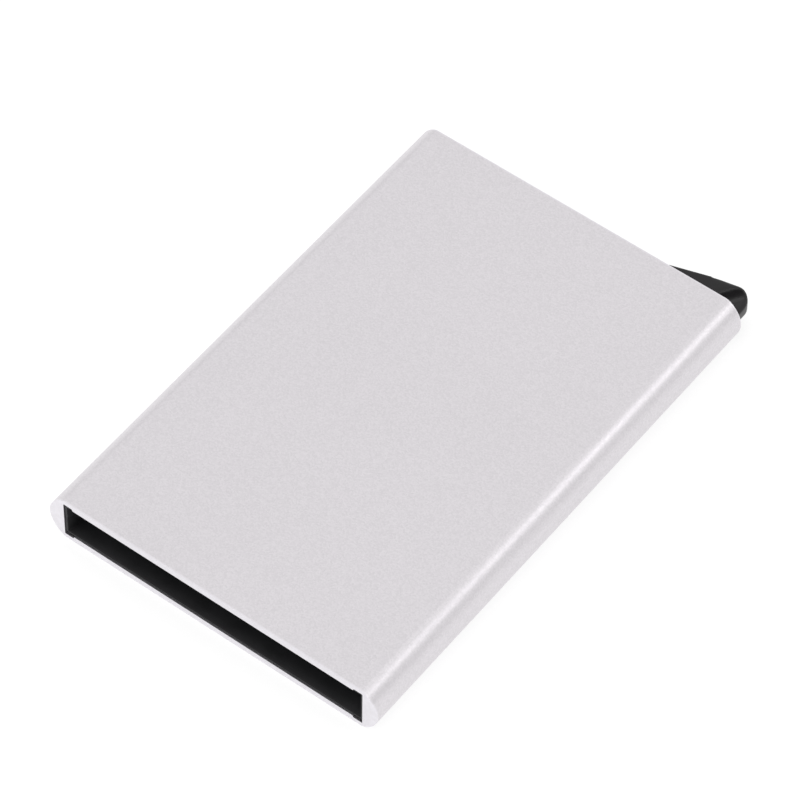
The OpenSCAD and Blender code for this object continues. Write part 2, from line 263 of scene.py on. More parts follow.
def slice_through(bm: BMesh, place: Place, way: Place, dist: float) -> None:
    """Cuts new edges into a mesh where a plane crosses it."""
    bmesh.ops.bisect_plane(bm, geom=bm.verts[:] + bm.edges[:] + bm.faces[:], dist=dist, plane_co=place,
                           plane_no=way)


def to_mesh(bm: BMesh, name: str) -> Mesh:
    """Scales a bmesh from millimetres to metres and stores it as a mesh."""
    bmesh.ops.scale(bm, vec=(MM, MM, MM), verts=bm.verts)
    return stored(bm, name)


def stored(bm: BMesh, name: str) -> Mesh:
    """Moves a bmesh into a mesh and frees it."""
    mesh = bpy.data.meshes.new(name)
    bm.to_mesh(mesh)
    bm.free()
    return mesh


def gather(parts: Iterable[BMesh]) -> BMesh:
    """Puts several meshes into one and frees them."""
    whole = bmesh.new()
    for part in parts:
        mesh = stored(part, "part")
        whole.from_mesh(mesh)
        bpy.data.meshes.remove(mesh)
    return whole


def turned(profile: Callable[[BMesh], None], steps: int) -> BMesh:
    """Turns a profile, drawn in X and Z, once round the Z axis and returns the closed shape."""
    bm = bmesh.new()
    profile(bm)
    bmesh.ops.spin(bm, geom=bm.verts[:] + bm.edges[:], cent=(0, 0, 0), axis=Axis.Z.value, angle=math.tau,
                   steps=steps, use_merge=True, use_duplicate=False)
    bmesh.ops.remove_doubles(bm, verts=bm.verts, dist=WELD)
    bmesh.ops.recalc_face_normals(bm, faces=bm.faces)
    return bm


def in_scene(name: str, data: bpy.types.ID) -> Object:
    """Returns a new object in the scene for the given data."""
    obj = bpy.data.objects.new(name, data)
    bpy.context.scene.collection.objects.link(obj)
    return obj


def discard(work: Object) -> None:
    """Removes a working object and its mesh."""
    mesh = work.data
    bpy.data.objects.remove(work)
    bpy.data.meshes.remove(mesh)


def settled(work: Object) -> BMesh:
    """Returns a working object's shape under its modifiers."""
    bpy.context.view_layer.update()
    shaped = bpy.data.meshes.new_from_object(work.evaluated_get(bpy.context.evaluated_depsgraph_get()))
    result = bmesh.new()
    result.from_mesh(shaped)
    bpy.data.meshes.remove(shaped)
    return result


def carve(target: BMesh, tool: BMesh, how: Joinery) -> BMesh:
    """Combines two closed bmeshes and returns the result; both inputs are freed."""
    work, cutter = in_scene("work", stored(target, "work")), in_scene("tool", stored(tool, "tool"))
    step = work.modifiers.new("carve", "BOOLEAN")
    step.operation, step.object, step.solver = how.value, cutter, "EXACT"
    result = settled(work)
    for item in (work, cutter):
        discard(item)
    bmesh.ops.remove_doubles(result, verts=result.verts, dist=WELD)
    return result


def even_mesh(bm: BMesh, grain: float) -> BMesh:
    """Returns a closed bmesh meshed again in small even faces; the input is freed."""
    work = in_scene("work", stored(bm, "work"))
    step = work.modifiers.new("even", "REMESH")
    step.mode, step.voxel_size = "VOXEL", grain
    result = settled(work)
    discard(work)
    return result


@dataclass
class Piece:
    """One finished object and what it belongs to."""

    name: str
    body: str
    slot: str
    replaces: tuple[str, ...] = ()

    def shape(self, bm: BMesh, material: Material, crease: float) -> Object:
        """Turns a bmesh into a shaded object.

        Args:
            bm: The piece's shape, in millimetres.
            material: Its finish.
            crease: Edges sharper than this many degrees stay sharp.

        Returns:
            The new object.
        """
        bmesh.ops.remove_doubles(bm, verts=bm.verts, dist=WELD)
        bmesh.ops.recalc_face_normals(bm, faces=bm.faces)
        mesh = to_mesh(bm, self.name)
        mesh.shade_smooth()
        mesh.set_sharp_from_angle(angle=math.radians(crease))
        mesh.materials.append(material)
        obj = in_scene(self.name, mesh)
        if self.replaces:
            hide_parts(*self.replaces)
        log.info("piece %s on %s, %d faces", self.name, self.body, len(mesh.polygons))
        return obj

    def make(self, bm: BMesh, material: Material, crease: float = 34.0) -> Object:
        """Makes a rigid piece that rides on its body, with flat faces shaded flat."""
        obj = self.shape(bm, material, crease)
        level = obj.modifiers.new("even_shading", "WEIGHTED_NORMAL")
        level.keep_sharp = True
        level.weight = 60
        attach(obj, self.body)
        return obj

    def wind(self, bm: BMesh, material: Material) -> Object:
        """Makes a piece that stays where it was built, with its transform baked into the mesh and on no body.

        Args:
            bm: The piece's shape, in millimetres.
            material: Its finish.

        Returns:
            The new object.
        """
        obj = self.shape(bm, material, 34.0)
        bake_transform(obj)
        return obj


# ---------------------------------------------------------------- shader groups


Wires = dict[str, NodeSocket]


class Bench:
    """Lays nodes in one tree and joins them."""

    def __init__(self, tree: NodeTree) -> None:
        """Keeps the tree that the nodes go into."""
        self.tree = tree

    def add(self, kind: str, inputs: dict[str | int, object] | None = None, **settings: object) -> Node:
        """Adds a node.

        Args:
            kind: The node's type name.
            inputs: Values or sockets for its inputs, by name or number.
            **settings: Attributes of the node.

        Returns:
            The new node.
        """
        node = self.tree.nodes.new(kind)
        for key, value in settings.items():
            setattr(node, key, value)
        for key, value in (inputs or {}).items():
            if isinstance(value, NodeSocket):
                self.tree.links.new(value, node.inputs[key])
            else:
                node.inputs[key].default_value = value
        return node

    def noise(self, vector: NodeSocket, scale: object, detail: float = 2.0,
              roughness: float = 0.5) -> NodeSocket:
        """Adds a noise texture and returns its value."""
        node = self.add("ShaderNodeTexNoise", {"Vector": vector, "Scale": scale, "Detail": detail,
                                               "Roughness": roughness})
        return node.outputs["Fac"]

    def spread(self, value: NodeSocket, low: object, high: object, start: float = 0.35,
               end: float = 0.65) -> NodeSocket:
        """Maps the middle of a noise to a range and returns it."""
        node = self.add("ShaderNodeMapRange", {"Value": value, "From Min": start, "From Max": end,
                                               "To Min": low, "To Max": high})
        return node.outputs["Result"]

    def sum(self, how: str, first: object, second: object) -> NodeSocket:
        """Adds a math node and returns its result."""
        return self.add("ShaderNodeMath", {0: first, 1: second}, operation=how).outputs[0]

    def blend(self, factor: object, first: object, second: object) -> NodeSocket:
        """Mixes two colours and returns the result."""
        sides = {0: factor, 6: first, 7: second}
        return self.add("ShaderNodeMix", sides, data_type="RGBA").outputs[2]

    def weigh(self, *shares: tuple[NodeSocket, float]) -> NodeSocket:
        """Adds up values, each times its own share, and returns the total."""
        total, *others = [self.sum("MULTIPLY", value, share) for value, share in shares]
        for other in others:
            total = self.sum("ADD", total, other)
        return total


class SharedEffect:
    """A shader node group that is built once and used by several finishes."""

    title = "effect"
    takes: tuple[tuple[str, float], ...] = ()
    gives: tuple[str, ...] = ()

    @classmethod
    def group(cls) -> NodeTree:
        """Returns the group, and builds it the first time."""
        found = bpy.data.node_groups.get(cls.title)
        if found:
            return found
        tree = bpy.data.node_groups.new(cls.title, "ShaderNodeTree")
        tree.interface.new_socket(name="Vector", in_out="INPUT", socket_type="NodeSocketVector")
        for name, value in cls.takes:
            socket = tree.interface.new_socket(name=name, in_out="INPUT", socket_type="NodeSocketFloat")
            socket.default_value = value
        for name in cls.gives:
            tree.interface.new_socket(name=name, in_out="OUTPUT", socket_type="NodeSocketFloat")
        bench = Bench(tree)
        entry = tree.nodes.new("NodeGroupInput")
        leave = tree.nodes.new("NodeGroupOutput")
        for name, value in cls.wire(bench, entry.outputs).items():
            tree.links.new(value, leave.inputs[name])
        return tree

    @classmethod
    def wire(cls, bench: Bench, given: NodeInputs) -> Wires:
        """Lays the group's nodes and returns its outputs by name."""
        raise NotImplementedError

    @classmethod
    def place(cls, bench: Bench, vector: NodeSocket, **values: float) -> NodeOutputs:
        """Puts the group in a material with its own values and returns its outputs."""
        node = bench.add("ShaderNodeGroup", node_tree=cls.group())
        bench.tree.links.new(vector, node.inputs["Vector"])
        for name, value in values.items():
            node.inputs[name.replace("_", " ").title()].default_value = value
        return node.outputs


class BlastGrain(SharedEffect):
    """Tiny overlapping dimples, from blasting metal or from a textured mould."""

    title = "blast_grain"
    takes = (("Scale", 6000.0), ("Coarse", 0.4), ("Facet Scale", 4000.0))
    gives = ("Height", "Tone", "Facet")
    wider = 0.31

    @classmethod
    def wire(cls, bench: Bench, given: NodeInputs) -> Wires:
        """Adds fine noise to a share of a coarser one."""
        fine = bench.noise(given["Vector"], given["Scale"], 2.0, 0.6)
        wide = bench.noise(given["Vector"], bench.sum("MULTIPLY", given["Scale"], cls.wider), 1.0, 0.5)
        height = bench.sum("ADD", fine, bench.sum("MULTIPLY", wide, given["Coarse"]))
        cells = bench.add("ShaderNodeTexVoronoi", {"Vector": given["Vector"], "Scale": given["Facet Scale"]})
        facet = bench.add("ShaderNodeSeparateColor", {0: cells.outputs["Color"]}).outputs["Red"]
        return {"Height": height, "Tone": bench.spread(fine, 0.0, 1.0, 0.3, 0.7), "Facet": facet}


class ToneDrift(SharedEffect):
    """Slow change over a surface, such as handling and uneven finishing."""

    title = "tone_drift"
    takes = (("Scale", 30.0), ("Low", 0.0), ("High", 1.0))
    gives = ("Value",)

    @classmethod
    def wire(cls, bench: Bench, given: NodeInputs) -> Wires:
        """Maps a soft noise to a range."""
        soft = bench.noise(given["Vector"], given["Scale"], 3.0, 0.55)
        return {"Value": bench.spread(soft, given["Low"], given["High"], 0.3, 0.7)}


class EndWearAndHighlight(SharedEffect):
    """A mask that grows towards the two ends of a long piece, broken up by noise: a little edge wear plus a
    painted highlight on the end faces.
    """

    title = "end_wear_highlight"
    takes = (("Half Length", 0.0475), ("Reach", 0.004), ("Scale", 900.0))
    gives = ("Mask",)

    @classmethod
    def wire(cls, bench: Bench, given: NodeInputs) -> Wires:
        """Compares the distance along Y with the piece's end."""
        parts = bench.add("ShaderNodeSeparateXYZ", {0: given["Vector"]}).outputs
        along = bench.sum("ABSOLUTE", parts["Y"], 0.0)
        inside = bench.sum("SUBTRACT", given["Half Length"], along)
        near = bench.sum("SUBTRACT", 1.0, bench.sum("DIVIDE", inside, given["Reach"]))
        near = bench.sum("MAXIMUM", near, 0.0)
        patchy = bench.spread(bench.noise(given["Vector"], given["Scale"], 4.0, 0.6), 0.7, 1.0, 0.42, 0.62)
        return {"Mask": bench.sum("MULTIPLY", near, patchy)}


class DrawnLines(SharedEffect):
    """Fine lines along one axis, from drawing, grinding or turning."""

    title = "drawn_lines"
    takes = (("Scale", 9000.0), ("Stretch X", 1.0), ("Stretch Y", 1.0), ("Stretch Z", 0.03))
    gives = ("Height",)

    @classmethod
    def wire(cls, bench: Bench, given: NodeInputs) -> Wires:
        """Samples noise in space that is stretched along one axis."""
        stretch = bench.add("ShaderNodeCombineXYZ", {0: given["Stretch X"], 1: given["Stretch Y"],
                                                     2: given["Stretch Z"]}).outputs[0]
        place = bench.add("ShaderNodeVectorMath", {0: given["Vector"], 1: stretch}, operation="MULTIPLY")
        return {"Height": bench.noise(place.outputs[0], given["Scale"], 2.0, 0.6)}


class FeltFibre(SharedEffect):
    """Matted fibres that cross in every direction."""

    title = "felt_fibre"
    takes = (("Scale", 2500.0),)
    gives = ("Height", "Tone")

    @classmethod
    def wire(cls, bench: Bench, given: NodeInputs) -> Wires:
        """Takes the ridges of a warped noise."""
        inputs = {"Vector": given["Vector"], "Scale": given["Scale"], "Detail": 4.0, "Roughness": 0.7,
                  "Distortion": 2.0}
        warp = bench.add("ShaderNodeTexNoise", inputs).outputs["Fac"]
        ridge = bench.sum("ABSOLUTE", bench.sum("SUBTRACT", warp, 0.5), 0.0)
        height = bench.spread(ridge, 1.0, 0.0, 0.0, 0.16)
        return {"Height": height, "Tone": bench.spread(warp, 0.0, 1.0, 0.3, 0.7)}


# ---------------------------------------------------------------- finishes


Colour = tuple[float, float, float, float]


@dataclass(frozen=True)
class Finish:
    """A material with its own name; subclasses lay its nodes."""

    name: str

    def material(self) -> Material:
        """Returns the material, and builds it the first time."""
        found = bpy.data.materials.get(self.name)
        if found:
            return found
        made = bpy.data.materials.new(self.name)
        made.use_nodes = True
        made.node_tree.nodes.clear()
        bench = Bench(made.node_tree)
        shader = bench.add("ShaderNodeBsdfPrincipled")
        leave = bench.add("ShaderNodeOutputMaterial")
        made.node_tree.links.new(shader.outputs[0], leave.inputs["Surface"])
        place = bench.add("ShaderNodeTexCoord").outputs["Object"]
        self.lay(bench, shader, place)
        return made

    def lay(self, bench: Bench, shader: Node, place: NodeSocket) -> None:
        """Feeds the shader; every finish has its own."""
        raise NotImplementedError

    @staticmethod
    def feed(bench: Bench, shader: Node, **sockets: NodeSocket) -> None:
        """Joins sockets to the shader's inputs, with Base_Color for Base Color."""
        for name, socket in sockets.items():
            bench.tree.links.new(socket, shader.inputs[name.replace("_", " ")])

    @staticmethod
    def bump(bench: Bench, height: NodeSocket, depth: float) -> NodeSocket:
        """Turns a height into a normal; depth is in metres."""
        return bench.add("ShaderNodeBump", {"Height": height, "Distance": depth, "Strength": 1.0}).outputs[0]


@dataclass(frozen=True)
class AnodisedMetal(Finish):
    """Bead-blasted aluminium under a thin clear anodised skin."""

    light: Colour = (0.752, 0.725, 0.752, 1.0)
    dark: Colour = (0.642, 0.619, 0.642, 1.0)
    # Lighter colour at the ends: a little edge wear plus a painted highlight standing in for the light the end
    # faces catch.
    worn_and_lit: Colour = (0.81, 0.79, 0.83, 1.0)
    roughness: tuple[float, float] = (0.35, 0.40)
    half_length: float = 0.0475

    def lay(self, bench: Bench, shader: Node, place: NodeSocket) -> None:
        """Adds grain, slow drift and a lighter band at the two ends that is partly edge wear and partly a
        painted highlight.
        """
        grain = BlastGrain.place(bench, place, scale=4300.0, coarse=0.5, facet_scale=4200.0)
        drift = ToneDrift.place(bench, place, scale=38.0)["Value"]
        # Painted highlight with some edge wear: brightens the end faces and a thin strip at each end.
        wear_highlight_mask = EndWearAndHighlight.place(bench, place, half_length=self.half_length, reach=0.00035, scale=1400.0)["Mask"]
        tone = bench.weigh((grain["Tone"], 0.3), (grain["Facet"], 0.6), (drift, 0.1))
        base = bench.blend(tone, self.dark, self.light)
        base = bench.blend(wear_highlight_mask, base, self.worn_and_lit)
        shader.inputs["Metallic"].default_value = 1.0
        rough = bench.spread(drift, *self.roughness, 0.0, 1.0)
        self.feed(bench, shader, Base_Color=base, Roughness=rough,
                  Normal=self.bump(bench, grain["Height"], 3e-6))


@dataclass(frozen=True)
class MouldedPlastic(Finish):
    """Black plastic with the fine texture of its mould."""

    light: Colour = (0.020, 0.020, 0.022, 1.0)
    dark: Colour = (0.010, 0.010, 0.011, 1.0)
    roughness: tuple[float, float] = (0.45, 0.6)
    texture: float = 5000.0
    depth: float = 9e-6
    gloss: float = 0.4

    def lay(self, bench: Bench, shader: Node, place: NodeSocket) -> None:
        """Adds mould texture and a slow change of sheen."""
        grain = BlastGrain.place(bench, place, scale=self.texture, coarse=0.7)
        drift = ToneDrift.place(bench, place, scale=260.0)["Value"]
        tone = bench.weigh((grain["Tone"], 0.6), (drift, 0.4))
        shader.inputs["Specular IOR Level"].default_value = self.gloss
        self.feed(bench, shader, Base_Color=bench.blend(tone, self.dark, self.light),
                  Roughness=bench.spread(drift, *self.roughness, 0.0, 1.0),
                  Normal=self.bump(bench, grain["Height"], self.depth))


@dataclass(frozen=True)
class WorkedMetal(Finish):
    """Steel or brass with fine lines from drawing or turning."""

    light: Colour = (0.62, 0.62, 0.64, 1.0)
    dark: Colour = (0.45, 0.45, 0.47, 1.0)
    stretch: tuple[float, float, float] = (1.0, 1.0, 0.03)
    roughness: tuple[float, float] = (0.24, 0.36)

    def lay(self, bench: Bench, shader: Node, place: NodeSocket) -> None:
        """Adds lines and a slow change of tone."""
        lines = DrawnLines.place(bench, place, scale=7000.0, stretch_x=self.stretch[0],
                                 stretch_y=self.stretch[1], stretch_z=self.stretch[2])["Height"]
        drift = ToneDrift.place(bench, place, scale=400.0)["Value"]
        shader.inputs["Metallic"].default_value = 1.0
        self.feed(bench, shader, Base_Color=bench.blend(drift, self.dark, self.light),
                  Roughness=bench.spread(lines, *self.roughness),
                  Normal=self.bump(bench, lines, 4e-6))


@dataclass(frozen=True)
class PressedFelt(Finish):
    """Short black fibres, matted together."""

    light: Colour = (0.045, 0.045, 0.048, 1.0)
    dark: Colour = (0.010, 0.010, 0.011, 1.0)

    def lay(self, bench: Bench, shader: Node, place: NodeSocket) -> None:
        """Adds fibre ridges and a soft sheen."""
        fibre = FeltFibre.place(bench, place, scale=2600.0)
        shader.inputs["Sheen Weight"].default_value = 0.3
        shader.inputs["Sheen Roughness"].default_value = 0.6
        shader.inputs["Specular IOR Level"].default_value = 0.15
        self.feed(bench, shader, Base_Color=bench.blend(fibre["Tone"], self.dark, self.light),
                  Roughness=bench.spread(fibre["Tone"], 0.85, 1.0, 0.0, 1.0),
                  Normal=self.bump(bench, fibre["Height"], 4e-5))


@dataclass(frozen=True)
class PaleFloor(Finish):
    """The plain pale surface that the wallet lies on; a light table's glow thins its shadows."""

    light: Colour = (0.31, 0.31, 0.31, 1.0)
    dark: Colour = (0.29, 0.29, 0.29, 1.0)
    glow: float = 0.77

    def lay(self, bench: Bench, shader: Node, place: NodeSocket) -> None:
        """Adds a faint unevenness."""
        drift = ToneDrift.place(bench, place, scale=3.0)["Value"]
        shader.inputs["Specular IOR Level"].default_value = 0.1
        shader.inputs["Emission Color"].default_value = (1.0, 1.0, 1.0, 1.0)
        shader.inputs["Emission Strength"].default_value = self.glow
        self.feed(bench, shader, Base_Color=bench.blend(drift, self.dark, self.light),
                  Roughness=bench.spread(drift, 0.8, 0.9, 0.0, 1.0))


SLEEVE_METAL = AnodisedMetal("blasted_anodised_metal", half_length=SLEEVE.size.y / 2 * MM)
CARTRIDGE_BLACK = MouldedPlastic("cartridge_black")
TRIGGER_BLACK = MouldedPlastic("trigger_black", light=(0.0075, 0.006, 0.0075, 1.0),
                               dark=(0.0025, 0.002, 0.0025, 1.0), roughness=(0.29, 0.35),
                               texture=6500.0, depth=2.5e-6, gloss=0.36)
STEEL = WorkedMetal("drawn_steel")
STRIP_STEEL = WorkedMetal("spring_strip_steel", stretch=(1.0, 0.03, 1.0))
SPRING_WIRE = WorkedMetal("spring_wire_steel", stretch=(0.3, 0.3, 1.0))
BRASS = WorkedMetal("turned_brass", light=(0.80, 0.60, 0.28, 1.0), dark=(0.62, 0.43, 0.17, 1.0),
                    stretch=(0.05, 0.05, 1.0))
FELT = PressedFelt("pressed_felt")


# ---------------------------------------------------------------- sub-assemblies


@dataclass
class SleeveShell:
    """The aluminium extrusion: flat faces, D-shaped sides and an open channel."""

    wall: float = 1.24
    side: float = 2.85
    bulge: float = 2.94
    edge: float = 1.56
    relief_width: float = 1.75
    relief_depth: float = 0.38
    ease: float = 0.09
    corner: float = 0.15
    side_steps: int = 40
    edge_steps: int = 10

    def outline(self, bm: BMesh) -> None:
        """Draws the outer D-sided outline at the card mouth."""
        half_h = SLEEVE.size.z / 2
        y = SLEEVE.low.y
        radius = (half_h**2 + self.bulge**2) / (2 * self.bulge)
        side_x = SLEEVE.high.x - radius
        rise = half_h - self.edge
        edge_x = side_x + math.sqrt((radius - self.edge) ** 2 - rise**2)
        lean = 90 - math.degrees(math.atan2(rise, edge_x - side_x))
        first = last = None
        for sign in (1, -1):
            start = (sign * edge_x, y, half_h + sign * half_h)
            here = bm.verts.new(start) if last is None else run(bm, last, start)
            first = first or here
            here = arc(bm, here, (sign * edge_x, y, half_h + sign * rise), lean, Axis.Y, self.edge_steps)
            here = arc(bm, here, (sign * side_x, y, half_h), 180 - 2 * lean, Axis.Y, self.side_steps)
            last = arc(bm, here, (sign * edge_x, y, half_h - sign * rise), lean, Axis.Y, self.edge_steps)
        bm.edges.new((last, first))

    def channel(self, bm: BMesh) -> None:
        """Draws the cavity's outline with a relief channel in each corner."""
        half_w = SLEEVE.size.x / 2 - self.side
        half_h = SLEEVE.size.z / 2
        roof = half_h - self.wall
        y = SLEEVE.low.y
        steps = ((half_w - self.relief_width, roof), (half_w - self.relief_width, roof + self.relief_depth),
                 (half_w, roof + self.relief_depth))
        corners: list[Place] = []
        for sx, sz, order in ((1, 1, 1), (1, -1, -1), (-1, -1, 1), (-1, 1, -1)):
            corners += [(sx * x, y, half_h + sz * z) for x, z in steps[::order]]
        loop_through(bm, corners)

    def build(self) -> BMesh:
        """Returns the sleeve's solid shape."""
        bm = bmesh.new()
        self.outline(bm)
        self.channel(bm)
        raise_outline(bm, (0, SLEEVE.size.y, 0))
        inner_x = SLEEVE.size.x / 2 - self.side + 0.1
        ease_corners(bm, self.corner, lambda place: abs(place.y) < 1.0 and abs(place.x) < inner_x)
        ease_corners(bm, self.ease, lambda place: abs(abs(place.y) - SLEEVE.high.y) < NEAR)
        return bm

    def dress(self) -> Object:
        """Builds and finishes the sleeve."""
        piece = Piece("sleeve_shell", "case", "sleeve_metal", ("outer_sleeve",))
        return piece.make(self.build(), SLEEVE_METAL.material())


@dataclass
class Cartridge:
    """The moulded tray and lid that line the sleeve, with their end cap."""

    skin: float = 0.6
    side_wall: float = 0.95
    lead: float = 1.8
    lead_rise: float = 0.35
    lead_side: float = 0.56
    boss: float = 1.4
    block_width: float = 3.0
    block_depth: float = 3.2
    post: float = 0.5
    post_height: float = 1.3
    post_place: tuple[float, float] = (-4.1, 1.86)
    window_post: float = 0.6
    pocket_depth: float = 0.6
    pocket_gap: float = 0.1
    pin_hole: float = 1.01
    screw_hole: float = 0.63
    head_hole: float = 1.03
    head_depth: float = 0.48
    end_screw_depth: float = 2.6
    ease: float = 0.1
    cap_ease: float = 0.16
    bury: float = 0.2

    def __post_init__(self) -> None:
        """Takes the places of the pieces from the frame."""
        self.tray = Span.of("cartridge_tray")
        self.lid = Span.of("cartridge_lid")
        self.cap = Span.of("end_cap")
        self.middle_z = SLEEVE.middle.z
        self.inner_x = self.tray.high.x - self.side_wall
        self.mouth_screws = ScrewPair("cartridge_screws").places()
        self.end_screws = ScrewPair("end_cap_screws").places()

    def half(self, side: int) -> BMesh:
        """Builds the U-shaped wall of one half, with its lead-in slopes.

        Args:
            side: 1 for the lid, or -1 for the tray.

        Returns:
            The half without bosses or holes.
        """
        outer = self.lid.high.z - self.middle_z
        inner = outer - self.skin
        wide, narrow, y = self.tray.high.x, self.inner_x, self.tray.low.y
        corners = ((-wide, 0), (-wide, outer), (wide, outer), (wide, 0), (narrow, 0), (narrow, inner),
                   (-narrow, inner), (-narrow, 0))
        bm = bmesh.new()
        loop_through(bm, [(x, y, self.middle_z + side * rise) for x, rise in corners])
        raise_outline(bm, (0, self.tray.high.y - y, 0))
        slice_through(bm, (0, y + self.lead, 0), Axis.Y.value, SAME)
        for vert in bm.verts:
            if abs(vert.co.y - y) < SAME and abs(abs(vert.co.x) - narrow) < SAME:
                vert.co.x += math.copysign(self.lead_side, vert.co.x)
                if abs(vert.co.z - self.middle_z) > inner - NEAR:
                    vert.co.z += side * self.lead_rise
        tidy_flats(bm)
        ease_corners(bm, self.ease, degrees=25)
        return bm

    def side_pockets(self) -> BMesh:
        """Returns the two hollows that the side springs sit in."""
        parts = []
        for node in ("side_spring_left", "side_spring_right"):
            spring = Span.of(node)
            sign = math.copysign(1, spring.middle.x)
            xs = sorted((sign * (self.inner_x - 0.3), sign * (self.inner_x + self.pocket_depth)))
            gap = self.pocket_gap
            parts.append(box_form((xs[0], spring.low.y - gap, spring.low.z - gap),
                                  (xs[1], spring.high.y + gap, spring.high.z + gap)))
        return gather(parts)

    def pin_seat(self) -> BMesh:
        """Returns the hole for the pivot pin, right through."""
        return pivot_rod(-PAST, SLEEVE.high.z + PAST, self.pin_hole)

    def build_tray(self) -> BMesh:
        """Returns the lower half with its bosses, blocks, post and holes."""
        bm = self.half(-1)
        low, back = self.tray.low.z, self.tray.high.y
        foot = low + self.bury
        for boss in rods(self.mouth_screws, Axis.Z, foot, self.middle_z, self.boss):
            bm = carve(bm, boss, Joinery.ADD)
        for place in self.end_screws:
            block = box_form((place.x - self.block_width / 2, back - self.block_depth, foot),
                             (place.x + self.block_width / 2, back - 0.01, self.tray.high.z))
            round_edges(block, block.edges, self.ease)
            bm = carve(bm, block, Joinery.ADD)
        post_x, post_y = PIVOT.x + self.post_place[0], PIVOT.y + self.post_place[1]
        post = rod_form((post_x, post_y, foot), (post_x, post_y, low + self.skin + self.post_height), self.post)
        ease_corners(post, self.ease)
        bm = carve(bm, post, Joinery.ADD)
        tools = rods(self.mouth_screws, Axis.Z, low + self.skin - 0.1, self.middle_z + PAST, self.screw_hole)
        tools += rods(self.end_screws, Axis.Y, back - self.end_screw_depth, back + PAST, self.screw_hole)
        bm = carve(bm, gather([*tools, self.pin_seat()]), Joinery.CUT)
        return carve(bm, self.side_pockets(), Joinery.CUT)

    def build_lid(self) -> BMesh:
        """Returns the upper half with its bosses and holes."""
        bm = self.half(1)
        top = self.lid.high.z
        for boss in rods(self.mouth_screws, Axis.Z, self.middle_z, top - self.bury, self.boss):
            bm = carve(bm, boss, Joinery.ADD)
        tools = rods(self.mouth_screws, Axis.Z, 0, top + PAST, self.screw_hole)
        bm = carve(bm, gather([*tools, self.pin_seat()]), Joinery.CUT)
        heads = rods(self.mouth_screws, Axis.Z, top - self.head_depth, top + PAST, self.head_hole)
        bm = carve(bm, gather(heads), Joinery.CUT)
        return carve(bm, self.side_pockets(), Joinery.CUT)

    def build_cap(self) -> BMesh:
        """Returns the end cap with the trigger's window and its screw holes."""
        bm = box_form(self.cap.low, self.cap.high)
        round_edges(bm, bm.edges, self.cap_ease, 4)
        window_x = max(p.x for p in self.end_screws) + self.block_width / 2 + self.window_post
        front, back = self.cap.low.y, self.cap.high.y
        window = box_form((window_x, front - PAST, self.cap.low.z + self.skin),
                          (self.inner_x, back + PAST, self.cap.high.z - self.skin))
        bm = carve(bm, window, Joinery.CUT)

        def at_window(place: Vector) -> bool:
            across = abs(place.y - front) < NEAR or abs(place.y - back) < NEAR
            inside = window_x - 0.01 < place.x < self.inner_x + 0.01
            return across and inside and abs(place.z - self.middle_z) < self.cap.size.z / 2 - self.skin + 0.01

        tidy_flats(bm)
        ease_corners(bm, self.ease, at_window)
        holes = rods(self.end_screws, Axis.Y, front - PAST, back + PAST, self.screw_hole)
        bm = carve(bm, gather(holes), Joinery.CUT)
        heads = rods(self.end_screws, Axis.Y, back - self.head_depth, back + PAST, self.head_hole)
        return carve(bm, gather(heads), Joinery.CUT)

    def dress(self) -> None:
        """Builds and finishes the three mouldings."""
        for name, node, bm in (("tray_moulding", "cartridge_tray", self.build_tray()),
                               ("lid_moulding", "cartridge_lid", self.build_lid()),
                               ("cap_moulding", "end_cap", self.build_cap())):
            Piece(name, "case", "cartridge_plastic", (node,)).make(bm, CARTRIDGE_BLACK.material())


@dataclass
class ScrewPair:
    """Two small pan-head screws that share a node."""

    node: str
    head: float = 1.0
    head_height: float = 0.45
    crown: float = 0.12
    dome: float = 0.02
    shank: float = 0.6
    root: float = 0.47
    thread: float = 0.25
    crest: tuple[float, float] = (0.42, 0.58)
    neck: float = 0.15
    tip: float = 0.35
    cross_length: float = 1.3
    cross_width: float = 0.24
    cross_depth: float = 0.24

    def __post_init__(self) -> None:
        """Takes the screws' place and direction from the frame."""
        self.span = Span.of(self.node)
        self.upright = self.span.size.z > self.span.size.y

    def places(self) -> list[Vector]:
        """Returns the middle of each screw's head top."""
        xs = (self.span.low.x + self.head, self.span.high.x - self.head)
        if self.upright:
            return [Vector((x, self.span.middle.y, self.span.high.z)) for x in xs]
        return [Vector((x, self.span.high.y, self.span.middle.z)) for x in xs]

    def profile(self, bm: BMesh) -> None:
        """Draws half the screw, with its head's top at the origin."""
        length = self.span.size.z if self.upright else self.span.size.y
        rim, under, tip = self.head - 2 * self.crown, -self.head_height, self.tip
        low = under - self.neck
        here = run(bm, bm.verts.new((0, 0, 0)), (rim, 0, -self.dome))
        here = arc(bm, here, (rim, 0, -self.dome - 2 * self.crown), 90, Axis.Y, 8)
        here = run(bm, here, (self.head, 0, under), (self.root, 0, under), (self.root, 0, low))
        while low - self.thread > -length + tip:
            here = run(bm, here, *((self.shank, 0, low - self.thread * share) for share in self.crest))
            low -= self.thread
            here = run(bm, here, (self.root, 0, low))
        run(bm, here, (self.root, 0, -length + tip * 0.6), (self.root * 0.4, 0, -length), (0, 0, -length))

    def build(self) -> BMesh:
        """Returns both screws, with a cross recess in each head."""
        arms = (self.cross_length / 2, self.cross_width / 2)
        screws = []
        for place in self.places():
            screw = turned(self.profile, 40)
            for x, y in (arms, arms[::-1]):
                screw = carve(screw, box_form((-x, -y, -self.cross_depth), (x, y, 1)), Joinery.CUT)
            turn = Matrix.Identity(4) if self.upright else Matrix.Rotation(math.radians(-90), 4, "X")
            bmesh.ops.transform(screw, matrix=Matrix.Translation(place) @ turn, verts=screw.verts)
            screws.append(screw)
        return gather(screws)

    def dress(self) -> None:
        """Builds and finishes the pair."""
        name = self.node.replace("screws", "screw_pair")
        Piece(name, "case", "steel", (self.node,)).make(self.build(), STEEL.material(), 30)


